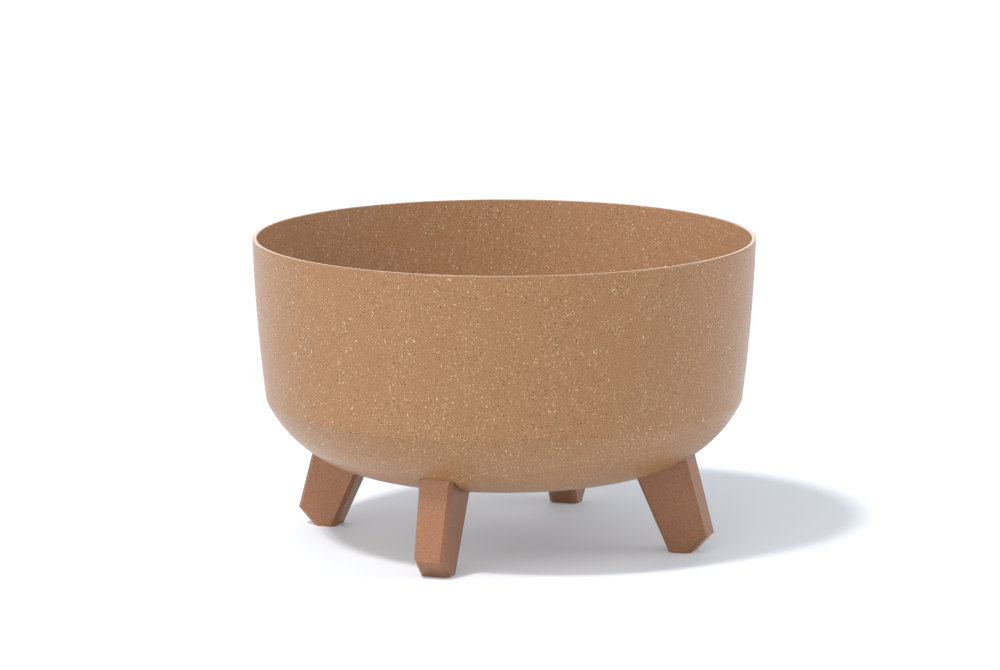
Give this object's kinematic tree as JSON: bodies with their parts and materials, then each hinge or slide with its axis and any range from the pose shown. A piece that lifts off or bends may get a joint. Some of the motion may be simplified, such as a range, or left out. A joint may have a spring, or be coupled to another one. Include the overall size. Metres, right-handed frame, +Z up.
{
  "type": "footed planter bowl",
  "caption": "Low round planter bowl in speckled wood-fibre composite on splayed copper-brown legs, with a lift-out drainage grate and a drain plug.",
  "frame": {"origin": "on the ground under the middle of the bowl", "axes": "+Z up along the bowl's axis, front towards -Y, the legs on the diagonals"},
  "size_m": [0.295, 0.2949, 0.18],
  "materials": {
    "bowl_composite": "satin",
    "leg_composite": "satin",
    "grate_plastic": "matte",
    "plug_plastic": "satin",
    "seal_rubber": "matte",
    "screw_steel": "satin"
  },
  "bodies": {
    "pot": {"bowl": "bowl_composite", "leg_front_right": "leg_composite", "leg_back_right": "leg_composite", "leg_back_left": "leg_composite", "leg_front_left": "leg_composite", "screw_front_right": "screw_steel", "screw_back_right": "screw_steel", "screw_back_left": "screw_steel", "screw_front_left": "screw_steel", "washer_front_right": "seal_rubber", "washer_back_right": "seal_rubber", "washer_back_left": "seal_rubber", "washer_front_left": "seal_rubber"},
    "grate": {"drainage_grate": "grate_plastic"},
    "plug": {"drain_plug": "plug_plastic", "plug_seal": "seal_rubber"}
  },
  "joints": [
    {"name": "grate_lift", "type": "slide", "parent": "pot", "child": "grate", "axis": [0, 0, 1], "range_m": [0, 0.15]},
    {"name": "plug_pull", "type": "slide", "parent": "pot", "child": "plug", "axis": [0, 0, -1], "range_m": [0, 0.028]}
  ]
}
